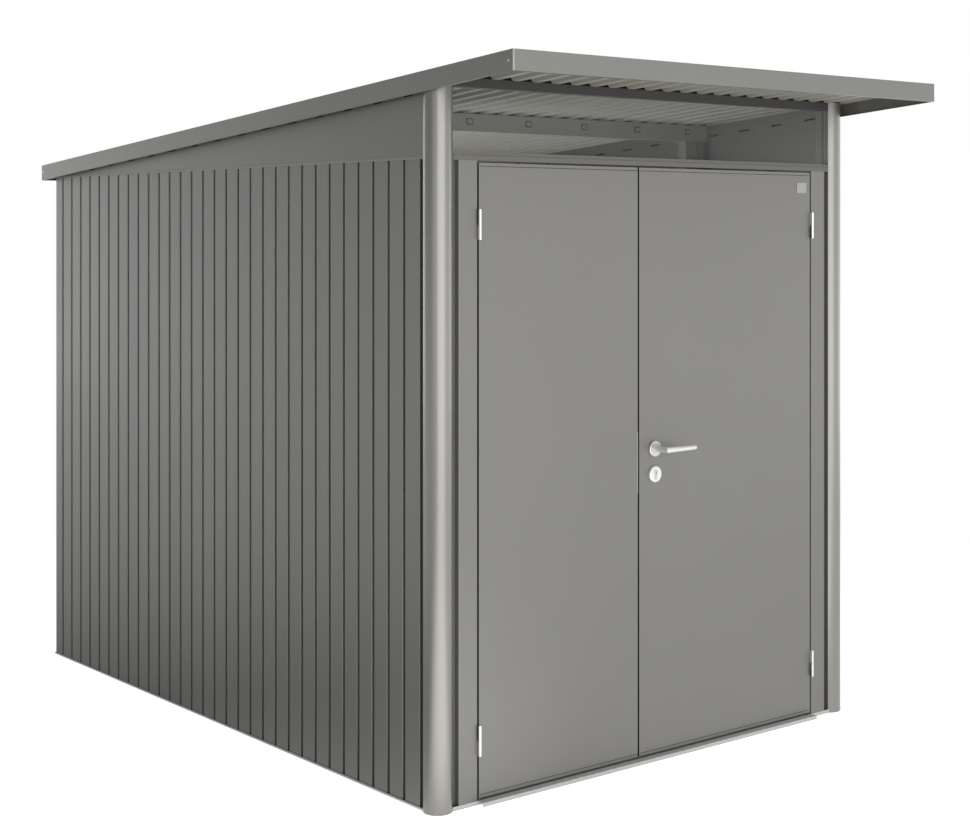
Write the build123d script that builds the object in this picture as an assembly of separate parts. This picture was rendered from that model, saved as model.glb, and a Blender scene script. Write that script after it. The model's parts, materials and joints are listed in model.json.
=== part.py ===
from build123d import *
import os
from math import floor, radians, sin, sqrt

# Metal storage shed: a profiled sheet metal hut with a roof that falls to the rear,
# a glazed strip under the roof and a pair of unequal doors.
# Millimetres, +X along the front to the right, +Y to the rear, +Z up.
# The origin is on the ground, under the middle of the roof outline.

# Plan, between the outer faces of the base rails
plan_width = 1800.0
plan_depth = 2518.0

# Roof edges beyond those faces
side_overhang = 29.0
front_overhang = 383.0
rear_overhang = 68.0

# Heights, each counted on from the top of the door leaves
leaf_bottom = 18.5
leaf_top = 1896.0
head_gap = 6.0
header_lower_band = 15.0
header_upper_band = 11.0
wall_above_header = 10.4
eaves_above_wall = 44.6
roof_fall = 233.6

# Fascia: a folded channel round the roof
fascia_height = 60.0
fascia_flange = 25.0
fascia_hem = 9.0
fascia_sheet = 1.5

# Trapezoidal roof sheet, its ribs running from front to rear
roof_depth = 14.5
roof_pitch = 79.0
roof_crown = 28.0
roof_rib_foot = 52.0
roof_sheet_thickness = 1.2

# Wall sheet: flat planks parted by narrow grooves
wall_sheet = 1.5
wall_inset = 3.0
plank_pitch = 79.1
groove_mouth = 13.0
groove_floor = 8.0
groove_depth = 14.0
first_plank = 81.0
least_corner = 50.0

# Base rails, with their anchor holes
rail_sheet = 2.0
rail_width = 60.0
side_lip = 6.0
front_lip = 12.5
anchor_hole = 9.0
anchor_from_edge = 40.0
anchor_from_end = 200.0

# Top rails, capping the side and rear walls
top_rail_lip = 8.0
top_rail_leg = 40.0

# Front posts: rounded outside, square inside, with two tongues that the wall and front strips lie on
post_radius = 43.5
post_centre = 31.5
post_round = 190.0
post_wall = 2.5
post_tongue = 97.0
round_clearance = 0.3

# Front strips beside the doors
front_inset = 2.0
strip_start = 86.0
strip_edge_depth = 18.0
strip_return = 26.0

# Doorway: the hinge lines stand this far in from the outer faces of the rails
hinge_line = 159.0
hinge_side_gap = 3.5
left_leaf_width = 647.5
meeting_gap = 6.5
leaf_depth = 28.0
leaf_sheet = 1.5
leaf_lip = 24.0
hem_height = 10.0
hem_step = 1.0
brace_width = 70.0
brace_from_bottom = 311.5
brace_from_top = 336.0

# Header over the doors, glazing and the beam over it
header_set_back = 3.0
front_beam_height = 27.3
glass_thickness = 4.0
beam_depth = 40.0
beam_wall = 2.0

# Sill in front of the doors
sill_reach = 25.5
sill_height = 12.5
sill_sheet = 2.0
sill_end = 157.0

# Purlins under the roof sheet, on posts at the side walls, as shares of the depth of the plan
purlin_shares = [0.2566, 0.6545]
purlin_height = 60.0
purlin_depth = 40.0
wall_post_width = 100.0

# Vent slots high in the side walls, two planks apart
slot_length = 46.0
slot_height = 4.0
slot_first = 115.0
slot_below_roof = 56.0
gable_flange = 20.0

# Knuckle hinges
knuckle_radius = 6.0
knuckle_height = 45.0
knuckle_gap = 0.3
knuckle_forward = 9.0
pin_radius = 3.0
pin_clearance = 0.08
hinge_plate = 2.0
hinge_from_bottom = 171.5
hinge_from_top = 183.0

# Lever handle, lock cylinder and their roses on the right door
lock_backset = 67.0
spindle_height = 995.5
lock_rose_drop = 82.0
rose_radius = 26.0
rose_thickness = 8.0
rose_rim = 2.0
spindle_radius = 9.0
neck_collar_radius = 12.5
neck_collar_length = 9.0
neck_gap = 0.5
neck_length = 54.0
grip_radius = 7.0
grip_length = 131.0
cylinder_radius = 8.5
cylinder_tail_width = 10.0
cylinder_tail_drop = 20.5
cylinder_stand_out = 1.0
lock_case_height = 165.0
lock_case_width = 85.0
lock_case_depth = 16.0
lock_plate_height = 235.0
lock_plate_width = 20.0
lock_plate_thickness = 1.5

left = -plan_width / 2
right = plan_width / 2
roof_length = front_overhang + plan_depth + rear_overhang
roof_front = -roof_length / 2
roof_rear = roof_length / 2
front = roof_front + front_overhang
rear = front + plan_depth
roof_left = left - side_overhang
roof_right = right + side_overhang
header_bottom = leaf_top + head_gap
header_joint = header_bottom + header_lower_band
header_top = header_joint + header_upper_band
wall_top = header_bottom + wall_above_header
rear_edge_height = wall_top + eaves_above_wall
purlin_places = [share * plan_depth for share in purlin_shares]
front_edge_height = rear_edge_height + roof_fall
roof_slope = roof_fall / roof_length
under_roof = fascia_sheet + roof_depth
wall_build = wall_inset + groove_depth + wall_sheet
front_build = front_inset + strip_edge_depth + wall_sheet

parts = {}


def roof_plane(y, drop=0.0):
    """Height at y of the plane that lies this far below the top of the fascia."""
    return front_edge_height - roof_slope * (y - roof_front) - drop


def block(x0, x1, y0, y1, z0, z1):
    return Pos(x0, y0, z0) * Box(x1 - x0, y1 - y0, z1 - z0, align=(Align.MIN, Align.MIN, Align.MIN))


def outline(points):
    return make_face(Polyline(*[(a, b) for a, b in points], close=True))


def standing(points, z0, z1):
    """A plan outline (x, y) raised from z0 to z1."""
    return Pos(0, 0, z0) * extrude(outline(points), amount=z1 - z0)


def across(points, x0, x1):
    """A side outline (y, z) drawn out along X."""
    return Pos(x0, 0, 0) * extrude(Plane.YZ * outline(points), amount=x1 - x0)


def along(points, y0, y1):
    """A front outline (x, z) drawn out along Y."""
    return Pos(0, y1, 0) * extrude(Plane.XZ * outline(points), amount=y1 - y0)


def folded(path, thickness):
    """Outline of sheet folded along a path, with its thickness on the left of the path."""
    path = [Vector(*point) for point in path]
    runs = [(b - a).normalized() for a, b in zip(path, path[1:])]
    sides = [Vector(-run.Y, run.X) for run in runs]
    shifts = [sides[0]]
    for first, second in zip(sides, sides[1:]):
        shifts.append((first + second) * (1 / (1 + first.dot(second))))
    shifts.append(sides[-1])
    inner = [point + shift * thickness for point, shift in zip(path, shifts)]
    return [(point.X, point.Y) for point in path + inner[::-1]]


def roof_slab(x0, x1, y0, y1, drop0, drop1):
    """A block whose top and bottom lie parallel to the roof."""
    points = [
        (y0, roof_plane(y0, drop1)),
        (y1, roof_plane(y1, drop1)),
        (y1, roof_plane(y1, drop0)),
        (y0, roof_plane(y0, drop0)),
    ]
    return across(points, x0, x1)


def under_the_roof(shape):
    """Trim a shape where the roof sheet lies on it."""
    low = [
        (roof_front, 0.0),
        (roof_rear, 0.0),
        (roof_rear, roof_plane(roof_rear, under_roof)),
        (roof_front, roof_plane(roof_front, under_roof)),
    ]
    return shape & across(low, roof_left, roof_right)


def both_sides(name, shape):
    """Store a left hand piece and its mirror image."""
    parts["left_" + name] = shape
    parts["right_" + name] = mirror(shape, about=Plane.YZ)


# Front posts
post_x = left + post_centre
post_y = front + post_centre
post_top = roof_plane(front, 0)
post_edge = post_centre + post_radius * sin(radians(post_round / 2 - 45))


def post_outline(grow=0.0):
    """Plan of the left post: round over the outer corner, with straight flanks and a cut corner inside."""
    radius = post_radius + grow
    flank = post_edge + grow
    near = post_centre - sqrt(radius**2 - (flank - post_centre) ** 2)
    back = front_build + post_wall + grow
    round_outside = ThreePointArc(
        (left + flank, front + near),
        (post_x - radius * sin(radians(45)), post_y - radius * sin(radians(45))),
        (left + near, front + flank),
    )
    square_inside = Polyline(
        (left + near, front + flank),
        (left + back, front + flank),
        (left + flank, front + back),
        (left + flank, front + near),
    )
    return make_face([round_outside, square_inside])


def post_tongues():
    side_face = left + wall_build
    front_face = front + front_build
    along_side = (front + post_edge, front + post_tongue)
    along_front = (left + post_edge, left + post_tongue)
    side = block(side_face, side_face + post_wall, *along_side, rail_sheet, post_top)
    face = block(*along_front, front_face, front_face + post_wall, rail_sheet, header_bottom)
    return side + face


def post_space():
    """What rails and beams are cut back by where they meet a front post."""
    return extrude(post_outline(round_clearance), amount=post_top) + post_tongues()


def front_post():
    hollow = offset(post_outline(), amount=-post_wall, kind=Kind.INTERSECTION)
    tube = extrude(post_outline(), amount=post_top) - extrude(hollow, amount=post_top)
    return under_the_roof(tube + post_tongues())


both_sides("front_post", front_post())
left_post_space = post_space()
right_post_space = mirror(left_post_space, about=Plane.YZ)


# Base rails
def side_rail():
    section = folded([(left, side_lip), (left, 0.0), (left + rail_width, 0.0)], rail_sheet)
    rail = along(section, front + rail_width, rear) - left_post_space
    mitre = [(left, rear), (left + rail_width, rear - rail_width), (left + rail_width, rear)]
    rail = rail - standing(mitre, 0.0, side_lip)
    for y in (front + anchor_from_end, rear - anchor_from_end):
        rail = rail - Pos(left + anchor_from_edge, y, rail_sheet / 2) * Cylinder(anchor_hole / 2, rail_sheet)
    return rail


def rear_rail():
    section = folded([(rear - rail_width, 0.0), (rear, 0.0), (rear, side_lip)], rail_sheet)
    inner_y = rear - rail_width
    plan = [(left, rear), (right, rear), (right - rail_width, inner_y), (left + rail_width, inner_y)]
    return across(section, left, right) & standing(plan, 0.0, side_lip)


def front_rail():
    section = folded([(front, front_lip), (front, 0.0), (front + rail_width, 0.0)], rail_sheet)
    return across(section, left, right) - left_post_space - right_post_space


def door_sill():
    section = folded(
        [(front, sill_height), (front - sill_reach, sill_height), (front - sill_reach, 0.0)], sill_sheet
    )
    return across(section, left + sill_end, right - sill_end)


both_sides("base_rail", side_rail())
parts["rear_base_rail"] = rear_rail()
parts["front_base_rail"] = front_rail()
parts["door_sill"] = door_sill()

# Profiled wall panels
side_planks = floor((plan_depth - first_plank - least_corner) / plank_pitch)
rear_planks = floor((plan_width - 2 * least_corner) / plank_pitch)
rear_first_joint = (plan_width - rear_planks * plank_pitch) / 2


def groove_rise(joint):
    """From the middle of a groove up to the face of the next plank."""
    return [(joint, groove_depth), (joint + groove_floor / 2, groove_depth), (joint + groove_mouth / 2, 0.0)]


def groove_fall(joint):
    return [(joint - groove_mouth / 2, 0.0), (joint - groove_floor / 2, groove_depth), (joint, groove_depth)]


def plank_path(start, planks, plain_start=False):
    """Distance along the wall and depth into it, for a panel that starts and ends mid-groove."""
    if plain_start:
        path = [(start, groove_depth), (start, 0.0)]
    else:
        path = groove_rise(start)
    for count in range(1, planks):
        joint = start + count * plank_pitch
        path += groove_fall(joint)[:2] + groove_rise(joint)[1:]
    return path + groove_fall(start + planks * plank_pitch)


def side_panel(start, planks, plain_start=False):
    path = [(left + wall_inset + d, front + s) for s, d in plank_path(start, planks, plain_start)]
    points = folded(path[::-1], wall_sheet)
    return standing(points, rail_sheet, wall_top - wall_sheet)


def rear_panel(start, planks):
    path = [(left + s, rear - wall_inset - d) for s, d in plank_path(start, planks)]
    points = folded(path[::-1], wall_sheet)
    return standing(points, rail_sheet, wall_top - wall_sheet)


def shared(planks, panels):
    """First plank and number of planks of each panel, the last one taking what is left over."""
    each = planks // panels
    counts = [each] * (panels - 1) + [planks - each * (panels - 1)]
    return [(number * each, count) for number, count in enumerate(counts)]


side_names = ["wall_front", "wall_middle", "wall_rear"]
for name, (first, planks) in zip(side_names, shared(side_planks, len(side_names))):
    both_sides(name, side_panel(first_plank + first * plank_pitch, planks, plain_start=first == 0))

rear_names = ["rear_wall_left", "rear_wall_right"]
for name, (first, planks) in zip(rear_names, shared(rear_planks, len(rear_names))):
    parts[name] = rear_panel(rear_first_joint + first * plank_pitch, planks)


def rear_corner():
    side_joint = first_plank + side_planks * plank_pitch
    side_path = [(left + wall_inset + d, front + s) for s, d in groove_rise(side_joint)]
    rear_path = [(left + s, rear - wall_inset - d) for s, d in groove_fall(rear_first_joint)]
    path = side_path + [(left + wall_inset, rear - wall_inset)] + rear_path
    return standing(folded(path[::-1], wall_sheet), rail_sheet, wall_top - wall_sheet)


both_sides("rear_corner", rear_corner())


# Top rails on the walls
def side_top_rail():
    lip_face = left + wall_inset - wall_sheet
    leg_face = left + wall_build + wall_sheet
    path = [
        (lip_face, wall_top - top_rail_lip),
        (lip_face, wall_top),
        (leg_face, wall_top),
        (leg_face, wall_top - top_rail_leg),
    ]
    rail = along(folded(path[::-1], wall_sheet), front, rear - wall_inset + wall_sheet) - left_post_space
    inner = rear - wall_build - wall_sheet
    mitre = [
        (lip_face, rear - wall_inset + wall_sheet),
        (leg_face, inner),
        (leg_face, rear),
        (lip_face, rear),
    ]
    return rail - standing(mitre, wall_top - top_rail_leg, wall_top)


def rear_top_rail():
    lip_face = rear - wall_inset + wall_sheet
    leg_face = rear - wall_build - wall_sheet
    path = [
        (leg_face, wall_top - top_rail_leg),
        (leg_face, wall_top),
        (lip_face, wall_top),
        (lip_face, wall_top - top_rail_lip),
    ]
    outer = left + wall_inset - wall_sheet
    inner = left + wall_build + wall_sheet
    plan = [(outer, lip_face), (-outer, lip_face), (-inner, leg_face), (inner, leg_face)]
    return across(folded(path[::-1], wall_sheet), outer, -outer) & standing(plan, 0.0, wall_top)


both_sides("top_rail", side_top_rail())
parts["rear_top_rail"] = rear_top_rail()


# Wedge shaped gable panels over the side walls, with vent slots
def gable_panel():
    face = left + wall_inset
    end = rear - wall_inset
    sheet = block(face, face + wall_sheet, front, end, wall_top, front_edge_height)
    sheet = under_the_roof(sheet)
    flange = roof_slab(face - gable_flange, face, front, end, under_roof, under_roof + wall_sheet)
    panel = sheet + flange
    slots = floor((plan_depth - slot_first - post_tongue) / (2 * plank_pitch)) + 1
    for count in range(slots):
        y = front + slot_first + count * 2 * plank_pitch
        drop = slot_below_roof - slot_height / 2
        slot = roof_slab(face, face + wall_sheet, y, y + slot_length, drop, drop + slot_height)
        if roof_plane(y + slot_length, slot_below_roof) > wall_top + 2 * slot_height:
            panel = panel - slot
    return panel - left_post_space


both_sides("gable_panel", gable_panel())


def box_beam(x0, x1, y0, y1, z0, z1):
    """A hollow beam, its top cut to the fall of the roof."""
    roof_there = roof_plane(y1, under_roof)
    hollow_top = min(z1, roof_there) - beam_wall
    outer = under_the_roof(block(x0, x1, y0, y1, z0, z1))
    return outer - block(x0, x1, y0 + beam_wall, y1 - beam_wall, z0 + beam_wall, hollow_top)


# Beams and purlins
gable_inside = left + wall_inset + wall_sheet
rear_beam_front = rear - wall_inset - beam_depth
parts["rear_beam"] = box_beam(
    gable_inside, -gable_inside, rear_beam_front, rear - wall_inset, wall_top, front_edge_height
)
beam_end = left + post_edge + round_clearance
beam_face = front + front_inset
glass_top = roof_plane(beam_face, under_roof) - front_beam_height
parts["front_beam"] = box_beam(
    beam_end, -beam_end, beam_face, beam_face + beam_depth, glass_top, front_edge_height
)

for name, place in zip(["front_purlin", "middle_purlin"], purlin_places):
    y = front + place
    low = roof_plane(y, under_roof + purlin_height)
    parts[name] = box_beam(gable_inside, -gable_inside, y, y + purlin_depth, low, front_edge_height)


def wall_posts():
    """Channels that stand against the side walls under the ends of the purlins."""
    posts = []
    wall_side = left + wall_build + wall_sheet
    room_side = wall_side + wall_post_width
    for place in purlin_places:
        y = front + place
        path = [(wall_side, y), (wall_side, y + purlin_depth), (room_side, y + purlin_depth), (room_side, y)]
        top = roof_plane(y, under_roof + purlin_height)
        post = standing(folded(path[::-1], beam_wall), rail_sheet, top)
        posts += [post, mirror(post, about=Plane.YZ)]
    return Compound(children=posts)


parts["wall_posts"] = wall_posts()


# Header over the doors: an upper band set back from a lower band that reaches the posts
def header():
    face = front + front_inset
    back = face + beam_depth
    box = block(beam_end, -beam_end, face + header_set_back, back, header_bottom, header_top)
    box = box - block(
        beam_end,
        -beam_end,
        face + header_set_back + beam_wall,
        back - beam_wall,
        header_bottom + beam_wall,
        header_top - beam_wall,
    )
    path = [
        (front + front_build, header_joint),
        (face, header_joint),
        (face, header_bottom),
        (front + front_build, header_bottom),
    ]
    return box + across(folded(path, beam_wall), beam_end, -beam_end)


parts["door_header"] = header()


# Glazing between the header and the beam
def glass():
    face = front + front_build - glass_thickness
    return block(beam_end, -beam_end, face, face + glass_thickness, header_top, glass_top)


parts["transom_glass"] = glass()


# Front strips
def front_strip():
    face = front + front_inset
    edge = left + hinge_line - hinge_side_gap
    path = [
        (beam_end, face + strip_edge_depth),
        (left + strip_start, face + strip_edge_depth),
        (left + strip_start, face),
        (edge, face),
        (edge, face + strip_return),
    ]
    return standing(folded(path, wall_sheet), rail_sheet, header_bottom)


both_sides("front_strip", front_strip())


# Roof sheet
def roof_sheet():
    x0 = roof_left + fascia_sheet
    x1 = roof_right - fascia_sheet
    y0 = roof_front + fascia_sheet
    y1 = roof_rear - fascia_sheet
    ribs = floor((x1 - x0) / roof_pitch)
    first = (x0 + x1) / 2 - (ribs - 1) / 2 * roof_pitch
    low = roof_plane(y0, under_roof)
    crown = low + roof_depth - roof_sheet_thickness
    path = [(x0, low)]
    for rib in range(ribs):
        x = first + rib * roof_pitch
        path += [
            (x - roof_rib_foot / 2, low),
            (x - roof_crown / 2, crown),
            (x + roof_crown / 2, crown),
            (x + roof_rib_foot / 2, low),
        ]
    path.append((x1, low))
    face = Pos(0, y0, 0) * (Plane.XZ * outline(folded(path, roof_sheet_thickness)))
    length = y1 - y0
    fall = Vector(0, length, -roof_slope * length)
    return extrude(face, amount=fall.length, dir=fall.normalized())


parts["roof_sheet"] = roof_sheet()


# Fascias
def cross_fascia(y_outer, inward):
    """Front or rear fascia; inward is +1 where the roof lies behind it and -1 in front."""

    def strip(depth, drop0, drop1):
        ends = sorted([y_outer, y_outer + inward * depth])
        return roof_slab(roof_left, roof_right, ends[0], ends[1], drop0, drop1)

    web = strip(fascia_sheet, 0.0, fascia_height)
    flange = strip(fascia_flange, 0.0, fascia_sheet)
    hem = strip(fascia_hem, fascia_height - fascia_sheet, fascia_height)
    return web + flange + hem


def side_fascia():
    y0 = roof_front + fascia_sheet
    y1 = roof_rear - fascia_sheet
    web = roof_slab(roof_left, roof_left + fascia_sheet, y0, y1, 0.0, fascia_height)
    hem_drop = fascia_height - fascia_sheet
    hem = roof_slab(roof_left, roof_left + fascia_hem, y0, y1, hem_drop, fascia_height)
    flange = roof_slab(roof_left, roof_left + fascia_flange, y0, y1, 0.0, fascia_sheet)
    for face, depth in ((roof_front, fascia_flange), (roof_rear - fascia_flange, fascia_flange)):
        end = roof_slab(roof_left, roof_left + fascia_flange, face, face + depth, 0.0, fascia_sheet)
        flange = flange - end
        web = web - end
    for face in (roof_front, roof_rear - fascia_hem):
        end = roof_slab(roof_left, roof_left + fascia_hem, face, face + fascia_hem, hem_drop, fascia_height)
        hem = hem - end
        web = web - end
    return web + flange + hem


parts["front_fascia"] = cross_fascia(roof_front, 1)
parts["rear_fascia"] = cross_fascia(roof_rear, -1)
both_sides("fascia", side_fascia())

# Doors
leaf_face = front + front_inset
leaf_back = leaf_face + leaf_depth
axis_y = leaf_face - knuckle_forward
left_axis_x = left + hinge_line
left_edge = left_axis_x + hinge_side_gap + left_leaf_width
right_edge = left_edge + meeting_gap
spindle_x = right_edge + lock_backset
brace_heights = [leaf_bottom + brace_from_bottom, leaf_top - brace_from_top]
hinge_heights = [leaf_bottom + hinge_from_bottom, leaf_top - hinge_from_top]


def door_leaf(x0, x1):
    """A tray of folded sheet with inner lips, a stepped hem and two flat braces."""
    tray = block(x0, x1, leaf_face, leaf_back, leaf_bottom, leaf_top)
    tray = tray - block(
        x0 + leaf_sheet,
        x1 - leaf_sheet,
        leaf_face + leaf_sheet + hem_step,
        leaf_back - leaf_sheet,
        leaf_bottom + leaf_sheet,
        leaf_top - leaf_sheet,
    )
    tray = tray - block(
        x0 + leaf_lip,
        x1 - leaf_lip,
        leaf_back - leaf_sheet,
        leaf_back,
        leaf_bottom + leaf_lip,
        leaf_top - leaf_lip,
    )
    for z in (leaf_bottom, leaf_top - hem_height):
        tray = tray - block(x0, x1, leaf_face, leaf_face + hem_step, z, z + hem_height)
    for z in brace_heights:
        low = z - brace_width / 2
        high = z + brace_width / 2
        inside = leaf_face + leaf_sheet + hem_step
        path = [(inside, low), (leaf_back, low), (leaf_back, high), (inside, high)]
        brace = across(folded(path, leaf_sheet), x0 + leaf_sheet, x1 - leaf_sheet)
        tray = tray + brace
    return tray


left_leaf = door_leaf(left_axis_x + hinge_side_gap, left_edge)
right_leaf = door_leaf(right_edge, -left_axis_x - hinge_side_gap)

# Lock in the meeting edge of the right leaf, its strike in the left leaf
lock_middle = spindle_height - lock_rose_drop / 2
lock_y = (leaf_face + leaf_back) / 2
plate_y0 = lock_y - lock_plate_width / 2
plate_y1 = lock_y + lock_plate_width / 2
plate_z0 = lock_middle - lock_plate_height / 2
plate_z1 = lock_middle + lock_plate_height / 2


def turning_hole(x, z, radius):
    """A round hole from front to rear through a door leaf."""
    return Pos(x, lock_y, z) * Rot(X=90) * Cylinder(radius, 2 * leaf_depth)


lock_rose_z = spindle_height - lock_rose_drop
cylinder_z = lock_rose_z + cylinder_tail_drop / 2 - (cylinder_radius - cylinder_tail_width / 2) / 2


def cylinder_outline(grow=0.0):
    """Pear shaped section of the lock cylinder, in (x, z)."""
    tail = Pos(0, -cylinder_tail_drop / 2) * Rectangle(cylinder_tail_width + 2 * grow, cylinder_tail_drop)
    foot = Pos(0, -cylinder_tail_drop) * Circle(cylinder_tail_width / 2 + grow)
    return Circle(cylinder_radius + grow) + tail + foot


def cylinder_bar(y0, y1, grow=0.0):
    bar = extrude(Plane.XZ * cylinder_outline(grow), amount=y1 - y0)
    return Pos(spindle_x, y1, cylinder_z) * bar


strike = block(left_edge - lock_plate_thickness, left_edge, plate_y0, plate_y1, plate_z0, plate_z1)
left_leaf = left_leaf - strike
lock_plate = block(right_edge, right_edge + lock_plate_thickness, plate_y0, plate_y1, plate_z0, plate_z1)
right_leaf = right_leaf - lock_plate
spindle_hole = turning_hole(spindle_x, spindle_height, spindle_radius + round_clearance)
cylinder_room = cylinder_bar(leaf_face - leaf_depth, leaf_back + leaf_depth, round_clearance)
right_leaf = right_leaf - spindle_hole - cylinder_room
case = block(
    right_edge + lock_plate_thickness,
    right_edge + lock_plate_thickness + lock_case_width,
    lock_y - lock_case_depth / 2,
    lock_y + lock_case_depth / 2,
    lock_middle - lock_case_height / 2,
    lock_middle + lock_case_height / 2,
)
lock_case = lock_plate + case - spindle_hole - cylinder_room

parts["left_door_leaf"] = left_leaf
parts["right_door_leaf"] = right_leaf
parts["door_strike"] = strike


# Roses round the lever's neck and the lock cylinder, on both faces
def rose(x, z, outward, opening):
    face = leaf_face if outward < 0 else leaf_back
    centre = face + outward * rose_thickness / 2
    disc = Pos(x, centre, z) * Rot(X=90) * Cylinder(rose_radius, rose_thickness)
    edge_y = face + outward * rose_thickness
    rim = disc.edges().filter_by(GeomType.CIRCLE).sort_by_distance((x, edge_y, z))[0]
    return chamfer(rim, rose_rim) - opening


roses = [rose(spindle_x, spindle_height, side, spindle_hole) for side in (-1, 1)]
roses += [rose(spindle_x, lock_rose_z, side, cylinder_room) for side in (-1, 1)]
parts["handle_roses"] = Compound(children=roses)

lock_cylinder = cylinder_bar(
    leaf_face - rose_thickness - cylinder_stand_out, leaf_back + rose_thickness + cylinder_stand_out
)
parts["door_lock"] = Compound(children=[lock_case, lock_cylinder])


# Lever handle on both faces, on one spindle: a collared neck, a mitred elbow and a round grip
def bar(start, end, radius):
    """A round bar from one point to another."""
    run = Vector(*end) - Vector(*start)
    foot = Plane(origin=start, z_dir=run.normalized())
    return foot * Cylinder(radius, run.length, align=(Align.CENTER, Align.CENTER, Align.MIN))


def outer_lever():
    elbow_y = leaf_face - rose_thickness - neck_length
    neck_foot = leaf_face - rose_thickness - neck_gap
    collar_end = neck_foot - neck_collar_length

    def forward(y0, y1, radius):
        return bar((spindle_x, y0, spindle_height), (spindle_x, y1, spindle_height), radius)

    spindle = forward(lock_y, neck_foot, spindle_radius)
    collar = forward(neck_foot, collar_end, neck_collar_radius)
    neck = forward(collar_end, elbow_y - grip_radius, grip_radius)
    root = (spindle_x - grip_radius, elbow_y, spindle_height)
    tip = (spindle_x + grip_length, elbow_y, spindle_height)
    grip = bar(root, tip, grip_radius)
    reach = 2 * grip_radius
    near_left = (spindle_x - reach, elbow_y - reach)
    near_right = (spindle_x + reach, elbow_y - reach)
    far_left = (spindle_x - reach, elbow_y + reach)
    far_right = (spindle_x + reach, elbow_y + reach)
    low = spindle_height - reach
    high = spindle_height + reach
    neck = neck - standing([near_left, near_right, far_right], low, high)
    grip = grip - standing([near_left, far_left, far_right], low, high)
    return spindle + collar + neck + grip


def lever():
    outer = outer_lever()
    inner = mirror(outer, about=Plane.XZ.offset(-lock_y))
    return outer + inner


parts["door_lever"] = lever()


# Hinges: the lower knuckle with its pin stays with the frame, the upper one turns with the leaf
def frame_knuckle(x, z):
    knuckle = Pos(x, axis_y, z - knuckle_height / 2) * Cylinder(knuckle_radius, knuckle_height)
    pin = Pos(x, axis_y, z) * Cylinder(pin_radius, 2 * knuckle_height - knuckle_radius)
    plate = block(
        x - hinge_side_gap,
        x - hinge_side_gap + hinge_plate,
        axis_y,
        front + front_inset + strip_return,
        z - knuckle_height,
        z,
    )
    return knuckle + pin + plate


def leaf_knuckle(x, z):
    low = z + knuckle_gap
    high = z + knuckle_height
    knuckle = Pos(x, axis_y, (low + high) / 2) * Cylinder(knuckle_radius, high - low)
    plate = block(x + hinge_side_gap - hinge_plate, x + hinge_side_gap, axis_y, leaf_back, low, high)
    bore_length = 2 * knuckle_height - knuckle_radius + 2 * knuckle_gap
    bore = Pos(x, axis_y, z) * Cylinder(pin_radius + pin_clearance, bore_length)
    return knuckle + plate - bore


fixed_halves = [frame_knuckle(left_axis_x, z) for z in hinge_heights]
fixed_halves += [mirror(half, about=Plane.YZ) for half in fixed_halves]
parts["frame_hinges"] = Compound(children=fixed_halves)
both_sides("door_hinges", Compound(children=[leaf_knuckle(left_axis_x, z) for z in hinge_heights]))

os.makedirs("parts", exist_ok=True)
for name, shape in parts.items():
    export_step(shape, f"parts/{name}.step")
print(len(parts), "sub-parts")
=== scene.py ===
# %% [markdown]
# # A sheet metal storage shed
# The shed stands alone: profiled walls, round front posts, a roof that falls to the rear and a pair
# of doors. Its solids are loaded first. They carry the shape, and every finish and small fitting
# below is laid on them without moving any of them.

# %% Load the shed and keep its box
import json
from math import cos, pi, radians, sin

import bmesh
import bpy
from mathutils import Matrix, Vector


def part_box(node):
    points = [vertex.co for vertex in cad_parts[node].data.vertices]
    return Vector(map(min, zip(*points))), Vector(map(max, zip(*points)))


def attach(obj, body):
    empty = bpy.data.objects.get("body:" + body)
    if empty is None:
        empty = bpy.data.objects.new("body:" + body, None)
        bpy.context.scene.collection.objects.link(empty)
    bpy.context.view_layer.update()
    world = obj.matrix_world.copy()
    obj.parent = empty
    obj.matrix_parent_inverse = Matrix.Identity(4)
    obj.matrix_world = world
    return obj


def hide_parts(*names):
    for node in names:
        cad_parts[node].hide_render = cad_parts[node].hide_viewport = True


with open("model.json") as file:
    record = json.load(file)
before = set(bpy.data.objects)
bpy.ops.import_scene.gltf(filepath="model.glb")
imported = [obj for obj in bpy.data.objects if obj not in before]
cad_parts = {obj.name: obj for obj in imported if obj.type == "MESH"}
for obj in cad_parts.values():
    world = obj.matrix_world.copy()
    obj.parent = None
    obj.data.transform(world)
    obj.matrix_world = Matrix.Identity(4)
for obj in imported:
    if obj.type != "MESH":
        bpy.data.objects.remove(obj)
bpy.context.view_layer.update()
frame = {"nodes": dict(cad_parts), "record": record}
nodes = frame["nodes"]

# %% [markdown]
# ## Where things are
# The main planes are read from the loaded pieces, so that a change of a size in the model moves the
# fittings with it. The front rail gives the plane of the front, the left leaf gives the plane of
# the doors, and the fascias give the fall of the roof.

# %% Planes, corners and the fall of the roof
MM = 0.001


def low(node):
    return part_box(node)[0]


def high(node):
    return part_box(node)[1]


front_plane = low("front_base_rail").y
door_face = low("left_door_leaf").y
door_back = high("left_door_leaf").y
roof_left, roof_front = low("front_fascia").x, low("front_fascia").y
roof_right, roof_rear = high("front_fascia").x, high("rear_fascia").y
fascia_height = 60 * MM
front_edge = high("front_fascia").z
rear_edge = low("rear_fascia").z + fascia_height
roof_slope = (front_edge - rear_edge) / (roof_rear - roof_front)
under_roof = 16 * MM  # flange of the fascia and depth of the roof sheet


def roof_plane(y, drop):
    """Height at y of the plane that lies this far below the top of the fascia."""
    return front_edge - roof_slope * (y - roof_front) - drop


print("front", round(front_plane, 4), "doors", round(door_face, 4), "slope", round(roof_slope, 4))

# %% [markdown]
# ## Nodes with settings and links
# A material is a small network. One function adds a node, sets what is given by name and joins what
# is given as an output, so that each material below reads from top to bottom.

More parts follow.
